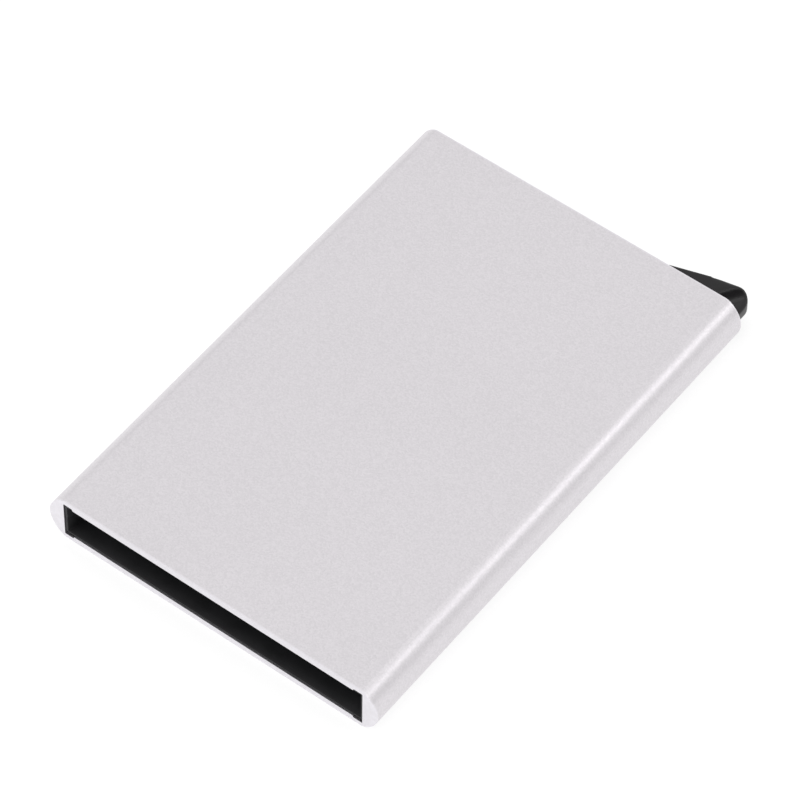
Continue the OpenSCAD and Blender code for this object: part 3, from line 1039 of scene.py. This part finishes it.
@dataclass
class CardGrip:
    """Side springs and brake pads."""

    bow: float = 0.8
    strip: float = 0.15
    strip_ease: float = 0.05
    strip_steps: int = 48
    pad_corner: float = 1.2
    pad_crown: float = 0.16
    fuzz: float = 0.025
    pad_cell: float = 0.5

    def build_spring(self, span: Span) -> BMesh:
        """Returns one bowed strip: its cross-section spun round the bow's far centre."""
        reach = span.size.y / 2
        radius = (reach**2 + self.bow**2) / (2 * self.bow)
        side = math.copysign(1, span.middle.x)
        near = span.low.x if side > 0 else span.high.x
        centre = Vector((near + side * radius, span.middle.y, span.middle.z))
        half_angle = math.degrees(math.asin(reach / radius))
        low_x, high_x = sorted((near, near + side * self.strip))
        bm = box_form((low_x, centre.y - 0.01, span.low.z), (high_x, centre.y, span.high.z))
        bmesh.ops.delete(bm, geom=[f for f in bm.faces if f.calc_center_median().y < centre.y - NEAR
                                   or abs(f.normal.y) < 0.5], context="FACES")
        start = bm.faces[:]
        bmesh.ops.rotate(bm, cent=centre, matrix=Matrix.Rotation(math.radians(-half_angle), 3, "Z"),
                         verts=bm.verts)
        bmesh.ops.spin(bm, geom=start, cent=centre, axis=Axis.Z.value, angle=math.radians(2 * half_angle),
                       steps=self.strip_steps, use_duplicate=False)
        bmesh.ops.holes_fill(bm, edges=[e for e in bm.edges if e.is_boundary], sides=4)
        bmesh.ops.remove_doubles(bm, verts=bm.verts, dist=WELD)
        bmesh.ops.recalc_face_normals(bm, faces=bm.faces)
        ease_corners(bm, self.strip_ease)
        return bm

    def build_pad(self, span: Span, facing: int) -> BMesh:
        """Returns one felt strip with soft edges and a slightly fuzzy, crowned face.

        Args:
            span: The pad's box.
            facing: 1 where the felt's free face looks up, or -1 where it looks down.

        Returns:
            The pad's closed shape.
        """
        bm = box_form(span.low, span.high)
        upright = [e for e in bm.edges if abs(e.verts[0].co.z - e.verts[1].co.z) > NEAR]
        round_edges(bm, upright, self.pad_corner, 6)
        for axis, length in ((Vector((1, 0, 0)), span.size.x), (Vector((0, 1, 0)), span.size.y)):
            start = span.low.dot(axis)
            for i in range(1, round(length / self.pad_cell)):
                slice_through(bm, axis * (start + i * self.pad_cell), axis, WELD)
        face_z = span.high.z if facing > 0 else span.low.z
        ease_corners(bm, self.pad_crown, lambda place: abs(place.z - face_z) < NEAR)
        half = span.size / 2
        for vert in bm.verts:
            if abs(vert.co.z - face_z) < self.pad_crown * 0.5:
                out = max(abs(vert.co.x - span.middle.x) / half.x, abs(vert.co.y - span.middle.y) / half.y)
                rough = noise.fractal(vert.co * 2.3, 0.9, 2.1, 4)
                vert.co.z -= facing * (self.pad_crown * 0.6 * out**3 + self.fuzz * (1 + rough))
        return bm

    def dress(self) -> None:
        """Builds and finishes the springs and pads."""
        for node in ("side_spring_left", "side_spring_right"):
            Piece(node.replace("spring", "strip"), "case", "steel", (node,)).make(
                self.build_spring(Span.of(node)), STRIP_STEEL.material())
        for node, facing in (("brake_pad_top", -1), ("brake_pad_bottom", 1)):
            pad = Piece(node.replace("brake_pad", "felt_pad"), "case", "felt", (node,)).make(
                self.build_pad(Span.of(node), facing), FELT.material(), 60)


@dataclass
class Pivot:
    """The pin, its bush and the spring that winds up between case and lever."""

    bush_bore: float = 1.04
    bush_edge: float = 0.05
    chamfer: float = 0.12
    wire: float = 0.2
    coil: float = 2.58
    pitch: float = 0.5
    turns: float = 3.75
    leg: float = 4.6
    turn_steps: int = 40
    wire_sides: int = 16
    wire_ease: float = 0.25

    def pin_profile(self, bm: BMesh) -> None:
        """Draws half the pin, with a chamfer at each end."""
        pin = Span.of("pivot_pin")
        radius, low, high, cut = pin.size.x / 2, pin.low.z, pin.high.z, self.chamfer
        run(bm, bm.verts.new((0, 0, low)), (radius - cut, 0, low), (radius, 0, low + cut),
            (radius, 0, high - cut), (radius - cut, 0, high), (0, 0, high))

    def bush_profile(self, bm: BMesh) -> None:
        """Draws the bush's wall, with a chamfer at each end of the bore."""
        bush = Span.of("pivot_bush")
        inner, outer, low, high = self.bush_bore, bush.size.x / 2, bush.low.z, bush.high.z
        cut, edge = self.chamfer, self.bush_edge
        wall = ((inner, low + cut), (inner + cut, low), (outer - edge, low), (outer, low + edge),
                (outer, high - edge), (outer - edge, high), (inner + cut, high), (inner, high - cut))
        loop_through(bm, [(x, 0, z) for x, z in wall])

    def on_axis(self, bm: BMesh) -> BMesh:
        """Moves a turned shape from the Z axis to the pivot's."""
        bmesh.ops.translate(bm, verts=bm.verts, vec=(PIVOT.x, PIVOT.y, 0))
        return bm

    def build_spring(self) -> BMesh:
        """Returns the torsion spring: a fixed leg, the coil and a leg in the lever."""
        low = Span.of("return_spring").low.z + self.wire
        steps = round(self.turns * self.turn_steps)
        bm = bmesh.new()
        start = Vector((PIVOT.x, PIVOT.y + self.coil, low))
        place = Matrix.Translation(start) @ Matrix.Rotation(math.radians(90), 4, "Y")
        bmesh.ops.create_circle(bm, segments=self.wire_sides, radius=self.wire, matrix=place)
        ring = bm.edges[:]
        coiled = bmesh.ops.spin(bm, geom=bm.verts[:] + ring, cent=(PIVOT.x, PIVOT.y, low), axis=Axis.Z.value,
                                dvec=(0, 0, self.pitch * self.turns / steps),
                                angle=-math.tau * self.turns, steps=steps, use_duplicate=False)
        last = edges_of(coiled["geom_last"])
        for edges, way in ((ring, Vector((-self.leg, 0, 0))), (last, Vector((0, self.leg, 0)))):
            drawn = bmesh.ops.extrude_edge_only(bm, edges=edges)["geom"]
            bmesh.ops.translate(bm, vec=way, verts=verts_of(drawn))
        bmesh.ops.holes_fill(bm, edges=[e for e in bm.edges if e.is_boundary], sides=self.wire_sides)
        bmesh.ops.recalc_face_normals(bm, faces=bm.faces)
        ease_corners(bm, self.wire * self.wire_ease, segments=2)
        return bm

    def dress(self) -> None:
        """Builds and finishes the pin, the bush and the spring."""
        pin = self.on_axis(turned(self.pin_profile, 64))
        Piece("pin_turned", "case", "steel", ("pivot_pin",)).make(pin, STEEL.material(), 30)
        bush = self.on_axis(turned(self.bush_profile, 64))
        Piece("bush_turned", "trigger", "brass", ("pivot_bush",)).make(bush, BRASS.material(), 30)
        low = Span.of("return_spring").low.z + 2 * self.wire
        high = Span.of("return_spring").high.z - 2 * self.wire
        Piece("spring_coil", "case", "steel", ("return_spring",)).wind(
            self.build_spring(), SPRING_WIRE.material())


@dataclass
class Trigger:
    """The lever: a stepped arm inside and a thumb tab outside, in one moulding."""

    hub: float = 3.6
    core: float = 2.1
    bore: float = 1.6
    arm: float = 48.0
    arm_front: float = 3.2
    arm_back: float = 0.7
    arm_steps: int = 6
    arm_step: float = 5.0
    tab_start: float = 20.35
    tab_slope: float = 17.9
    tab_nose: float = 2.0
    tab_inset: float = 1.45
    tab_inner: float = 1.5
    tab_gap: float = 0.25
    tab_steps: tuple[int, int, int] = (24, 36, 8)
    nose_round: float = 1.25
    slope_round: float = 0.35
    blend_length: float = 5.0
    scoop: float = 4.5
    scoop_depth: float = 2.0
    scoop_turn: float = 33.0
    scoop_place: tuple[float, float] = (5.65, 1.8)
    scoop_lip: float = 0.8
    rim_grain: float = 0.15
    rim_rounds: int = 24
    rim_floor: float = 2.0
    pocket: float = 3.06
    pocket_top: float = 4.505
    leg_pocket: float = 6.0
    leg_pocket_height: float = 0.9
    leg_slot: tuple[float, float] = (0.48, 4.88)
    post_clear: tuple[float, float] = (1.86, 0.9)
    ease: float = 0.12
    draft: float = 0.03
    sides: int = 96

    def __post_init__(self) -> None:
        """Works out the lever's places from the sleeve and the pivot."""
        lever = Span.of("trigger_lever")
        self.low, self.high = lever.low.z, lever.high.z
        self.end_y = SLEEVE.high.y
        self.tab_y = self.end_y + self.tab_gap
        self.slope = math.tan(math.radians(self.tab_slope))
        start_x = SLEEVE.high.x - self.tab_start
        self.nose_x = SLEEVE.high.x - self.tab_inset - self.tab_nose
        self.nose_y = (self.end_y + self.slope * (self.nose_x - start_x)
                       - self.tab_nose / math.cos(math.radians(self.tab_slope)))
        self.heel = Vector((start_x - self.tab_inner, self.end_y - self.slope * self.tab_inner, 0))

    def build_arm(self) -> BMesh:
        """Returns the stepped arm: each step is shorter, narrower by its draft, and reaches higher."""
        full = (self.arm_front + self.arm_back) / 2
        y = PIVOT.y - self.arm_front + full
        rise = (self.high - self.low) / self.arm_steps
        bottom = self.low + 2 * self.draft
        whole = None
        for i in range(self.arm_steps):
            step = bmesh.new()
            half = full - self.draft * i
            foot = bottom + (rise / 2 if i else 0.0)
            end_x = PIVOT.x - self.draft * i
            tip_x = PIVOT.x - self.arm + self.arm_step * i + half
            first = step.verts.new((end_x, y + half, foot))
            here = run(step, first, (tip_x, y + half, foot))
            here = arc(step, here, (tip_x, y, foot), 180, Axis.Z, 32)
            here = run(step, here, (end_x, y - half, foot))
            step.edges.new((here, first))
            raise_outline(step, (0, 0, self.low + rise * (i + 1) - 2 * self.draft - foot))
            tidy_flats(step)
            ease_corners(step, self.ease)
            whole = step if whole is None else carve(whole, step, Joinery.ADD)
        return whole

    def inset(self, place: Vector) -> float:
        """Says how much the tab's rim is rounded at a place in plan."""
        if place.y < self.tab_y - NEAR:
            return 0.0
        near = (place.x - (self.nose_x - self.blend_length)) / self.blend_length
        share = min(max(near, 0.0), 1.0)
        share = share * share * (3 - 2 * share)
        return self.slope_round + (self.nose_round - self.slope_round) * share

    def build_tab(self) -> BMesh:
        """Returns the neck and the tab, with a rim that is rounder at the nose."""
        bm = bmesh.new()
        lean = math.radians(self.tab_slope)
        tip = Vector((self.nose_x - self.tab_nose * math.sin(lean),
                      self.nose_y + self.tab_nose * math.cos(lean), 0))
        up = Vector((0, 0, self.low))
        slope_steps, nose_steps, flank_steps = self.tab_steps
        first = bm.verts.new(self.heel + up)
        here = run(bm, first, *(self.heel.lerp(tip, i / slope_steps) + up for i in range(1, slope_steps + 1)))
        here = arc(bm, here, (self.nose_x, self.nose_y, self.low), -90 - self.tab_slope, Axis.Z, nose_steps)
        flank_x, flank = self.nose_x + self.tab_nose, self.tab_y - self.nose_y
        here = run(bm, here, *((flank_x, self.nose_y + flank * i / flank_steps, self.low)
                               for i in range(1, flank_steps + 1)))
        neck_x = PIVOT.x + self.hub
        neck = ((neck_x, self.tab_y), (neck_x, PIVOT.y), (PIVOT.x, PIVOT.y), (self.heel.x, PIVOT.y))
        here = run(bm, here, *((x, y, self.low) for x, y in neck))
        bm.edges.new((here, first))
        return self.layered(bm)

    def layered(self, bm: BMesh) -> BMesh:
        """Raises the tab's outline in layers and draws each one in towards the rim.

        Args:
            bm: The outline, as one closed loop of edges.

        Returns:
            The closed solid.
        """
        ways = {}
        for vert in bm.verts:
            before, after = (edge.other_vert(vert).co for edge in vert.link_edges)
            along = (after - before).normalized()
            side = Vector((along.y, -along.x, 0))
            inside = Vector((self.nose_x, self.tab_y + 1, self.low)) - vert.co
            ways[self.key(vert.co)] = side if side.dot(inside) > 0 else -side
        rise = self.nose_round
        steps = 10
        bends = [rise * (1 - math.cos(math.pi / 2 * i / steps)) for i in range(steps + 1)]
        levels = bends + [self.high - self.low - bend for bend in reversed(bends)]
        loop = bottom = bm.edges[:]
        for below, level in zip(levels, levels[1:]):
            drawn = bmesh.ops.extrude_edge_only(bm, edges=loop)["geom"]
            loop = edges_of(drawn)
            bmesh.ops.translate(bm, vec=(0, 0, level - below), verts=verts_of(drawn))
        for vert in bm.verts:
            radius = self.inset(vert.co)
            depth = min(vert.co.z - self.low, self.high - vert.co.z)
            if depth < radius:
                pull = radius - math.sqrt(max(radius**2 - (radius - depth) ** 2, 0.0))
                vert.co += ways[self.key(vert.co)] * pull
        for rim in (bottom, loop):
            bmesh.ops.triangle_fill(bm, use_beauty=True, use_dissolve=False, edges=rim)
        bmesh.ops.recalc_face_normals(bm, faces=bm.faces)
        return bm

    @staticmethod
    def key(place: Vector) -> tuple[float, float]:
        """Names a place in plan, whatever its height."""
        return round(place.x, 4), round(place.y, 4)

    def scoop_tool(self) -> BMesh:
        """Returns the thumb scoop's cutter: a trough whose ridge side has a round lip."""
        rise = self.scoop - self.scoop_depth
        centre = math.sqrt(self.scoop**2 - rise**2)
        lip = -math.sqrt((self.scoop + self.scoop_lip) ** 2 - (rise + self.scoop_lip) ** 2)
        swing = math.degrees(math.atan2(-lip, rise + self.scoop_lip))
        reach = 3 * self.scoop
        bm = bmesh.new()
        top = self.high + rise + self.scoop
        start = bm.verts.new((lip, -reach, top))
        here = run(bm, start, (lip, -reach, self.high))
        here = arc(bm, here, (lip, -reach, self.high - self.scoop_lip), swing, Axis.Y, 10)
        here = arc(bm, here, (0, -reach, self.high + rise), -swing - 90, Axis.Y, 72)
        here = run(bm, here, (self.scoop, -reach, top))
        bm.edges.new((here, start))
        raise_outline(bm, (0, 2 * reach, 0))
        ridge = Vector((SLEEVE.high.x - self.scoop_place[0], self.end_y + self.scoop_place[1], 0))
        turn = Matrix.Rotation(math.radians(-self.scoop_turn), 4, "Z")
        bmesh.ops.transform(bm, matrix=Matrix.Translation(ridge) @ turn @ Matrix.Translation((centre, 0, 0)),
                            verts=bm.verts)
        keep = box_form((PIVOT.x, self.tab_y, -1), (SLEEVE.high.x + 1, self.end_y + reach, top + 1))
        return carve(bm, keep, Joinery.KEEP)

    def soften_rim(self, bm: BMesh) -> BMesh:
        """Rounds the edges round the scoop, on an even mesh, so that they flow into one another."""
        bm = even_mesh(bm, self.rim_grain)
        near = [vert for vert in bm.verts if vert.co.y > self.tab_y + 2 * self.rim_grain
                and vert.co.x > self.nose_x - self.blend_length and vert.co.z > self.low + self.rim_floor]
        for _ in range(self.rim_rounds):
            bmesh.ops.smooth_vert(bm, verts=near, factor=0.5, use_axis_x=True, use_axis_y=True, use_axis_z=True)
        for vert in bm.verts:
            vert.co.z = min(max(vert.co.z, self.low), self.high)
        bmesh.ops.dissolve_limit(bm, angle_limit=math.radians(0.6), verts=bm.verts, edges=bm.edges)
        bmesh.ops.triangulate(bm, faces=bm.faces)
        return bm

    def spring_room(self) -> BMesh:
        """Returns the cutter for the coil's pocket, the fixed leg's sweep and the other leg's slot."""
        x, y = PIVOT.x, PIVOT.y
        under = self.low - 1
        room = pivot_rod(under, self.pocket_top, self.pocket, self.sides)
        sweep = pivot_rod(under - 0.2, self.low + self.leg_pocket_height, self.leg_pocket, self.sides)
        near = y + self.post_clear[0] - self.post_clear[1]
        sweep = carve(sweep, box_form((x - 2 * self.leg_pocket, near, under - 1), (x + 1, y + 9, self.high)),
                      Joinery.KEEP)
        slot_x = x - self.pocket + self.leg_slot[0]
        slot = box_form((slot_x - self.leg_slot[0] + 0.01, y, under - 0.1),
                        (slot_x + self.leg_slot[0], y + self.leg_slot[1], self.pocket_top - 0.02))
        room = carve(carve(room, sweep, Joinery.ADD), slot, Joinery.ADD)
        return carve(room, pivot_rod(under - 1, self.high, self.core, self.sides), Joinery.CUT)

    def build(self) -> BMesh:
        """Returns the whole lever."""
        hub = pivot_rod(self.low + self.draft, self.high - self.draft, self.hub, self.sides)
        ease_corners(hub, self.ease)
        bm = self.soften_rim(carve(self.build_tab(), self.scoop_tool(), Joinery.CUT))
        bm = carve(bm, hub, Joinery.ADD)
        bm = carve(bm, self.build_arm(), Joinery.ADD)
        bm = carve(bm, pivot_rod(-PAST, SLEEVE.high.z + PAST, self.bore), Joinery.CUT)
        return carve(bm, self.spring_room(), Joinery.CUT)

    def dress(self) -> None:
        """Builds and finishes the lever."""
        Piece("trigger_moulding", "trigger", "trigger_plastic", ("trigger_lever",)).make(
            self.build(), TRIGGER_BLACK.material(), 30)


# ---------------------------------------------------------------- studio


@dataclass
class Studio:
    """Camera, floor and soft light round the wallet."""

    azimuth: float = 36.35
    elevation: float = 52.21
    roll: float = 1.13
    distance: float = 786.4
    aim_up: float = 5.38
    aim_right: float = -0.05
    lens: float = 225.27
    floor_half: float = 3000.0
    floor_gap: float = 0.02
    horizon: float = 0.84
    zenith: float = 1.0
    lamp_distance: float = 1.2
    lamps: tuple[tuple[str, tuple[float, float, float], tuple[float, float], float], ...] = (
        ("edge_lamp", (0.69, 0.493, 0.53), (0.12, 0.12), 0.44),
        ("lip_lamp", (0.17, 0.16, 0.97), (0.1, 0.1), 0.3),
        ("ridge_lamp", (0.51, 0.01, 0.86), (0.05, 0.05), 0.55),
        ("front_fill", (-0.3, -0.9, 1.2), (1.0, 0.6), 1.5))
    flag_way: tuple[float, float, float] = (0.80, -0.25, 0.52)
    flag_edge: tuple[float, float] = (0.84, 0.95)
    flag_level: float = 0.15

    def camera(self) -> None:
        """Places the camera on its arc, aimed a little above the wallet's middle."""
        az, el, roll = (math.radians(v) for v in (self.azimuth, self.elevation, self.roll))
        back = Vector((math.cos(el) * math.sin(az), -math.cos(el) * math.cos(az), math.sin(el)))
        level = Vector((math.cos(az), math.sin(az), 0.0))
        upright = back.cross(level)
        right = math.cos(roll) * level + math.sin(roll) * upright
        up = back.cross(right)
        place = back * self.distance + up * self.aim_up + right * self.aim_right
        turn = Matrix((right, up, back)).transposed().to_4x4()
        data = bpy.data.cameras.new("studio_camera")
        data.lens, data.sensor_width = self.lens, 36.0
        data.clip_start, data.clip_end = 0.01, 20.0
        obj = in_scene("studio_camera", data)
        obj.matrix_world = Matrix.Translation(place * MM) @ turn
        bpy.context.scene.camera = obj

    def floor(self) -> None:
        """Lays a wide pale floor under the wallet."""
        bm = bmesh.new()
        bmesh.ops.create_grid(bm, x_segments=1, y_segments=1, size=self.floor_half,
                              matrix=Matrix.Translation((0, 0, -self.floor_gap)))
        mesh = to_mesh(bm, "studio_floor")
        mesh.materials.append(PaleFloor("pale_floor").material())
        obj = in_scene("studio_floor", mesh)

    def lamp(self, name: str, towards: Vector, distance: float, size: tuple[float, float],
             power: float) -> None:
        """Adds a rectangular soft light that faces the wallet.

        Args:
            name: The light's name.
            towards: The direction from the wallet to the light.
            distance: How far away it is, in metres.
            size: Its width and height, in metres.
            power: Its power in watts.
        """
        data = bpy.data.lights.new(name, "AREA")
        data.shape = "RECTANGLE"
        data.size, data.size_y = size
        data.energy = power
        obj = in_scene(name, data)
        way = towards.normalized()
        turn = way.to_track_quat("Z", "Y").to_matrix().to_4x4()
        obj.matrix_world = Matrix.Translation(way * distance) @ turn

    def sky(self) -> None:
        """Makes the room's even light: dimmer at the horizon, and behind a dark flag on the right."""
        world = bpy.data.worlds.new("studio_world")
        world.use_nodes = True
        bench = Bench(world.node_tree)
        way = bench.add("ShaderNodeTexCoord").outputs["Generated"]
        height = bench.add("ShaderNodeSeparateXYZ", {0: way}).outputs["Z"]
        shade = world.node_tree.nodes["Background"]
        open_sky = bench.spread(height, self.horizon, self.zenith, 0.0, 0.6)
        facing = bench.add("ShaderNodeVectorMath", {0: way, 1: Vector(self.flag_way).normalized()},
                           operation="DOT_PRODUCT").outputs["Value"]
        level = bench.sum("MULTIPLY", open_sky, bench.spread(facing, 1.0, self.flag_level, *self.flag_edge))
        world.node_tree.links.new(level, shade.inputs["Strength"])
        shade.inputs["Color"].default_value = (1.0, 1.0, 1.0, 1.0)
        bpy.context.scene.world = world

    def light(self) -> None:
        """Lights the room, and adds the small lamps that line the edges and the soft ones beside them."""
        self.sky()
        for name, way, size, power in self.lamps:
            self.lamp(name, Vector(way), self.lamp_distance, size, power)

    def set_up(self) -> None:
        """Builds the whole studio."""
        self.camera()
        self.floor()
        self.light()
        bpy.context.scene.view_settings.view_transform = "Standard"


def main() -> None:
    """Builds the studio and every sub-assembly in order."""
    logging.basicConfig(level=logging.INFO, format="%(name)s: %(message)s")
    Studio().set_up()
    SleeveShell().dress()
    Cartridge().dress()
    for node in ("cartridge_screws", "end_cap_screws"):
        ScrewPair(node).dress()
    CardGrip().dress()
    Pivot().dress()
    Trigger().dress()


if __name__ == "__main__":
    main()
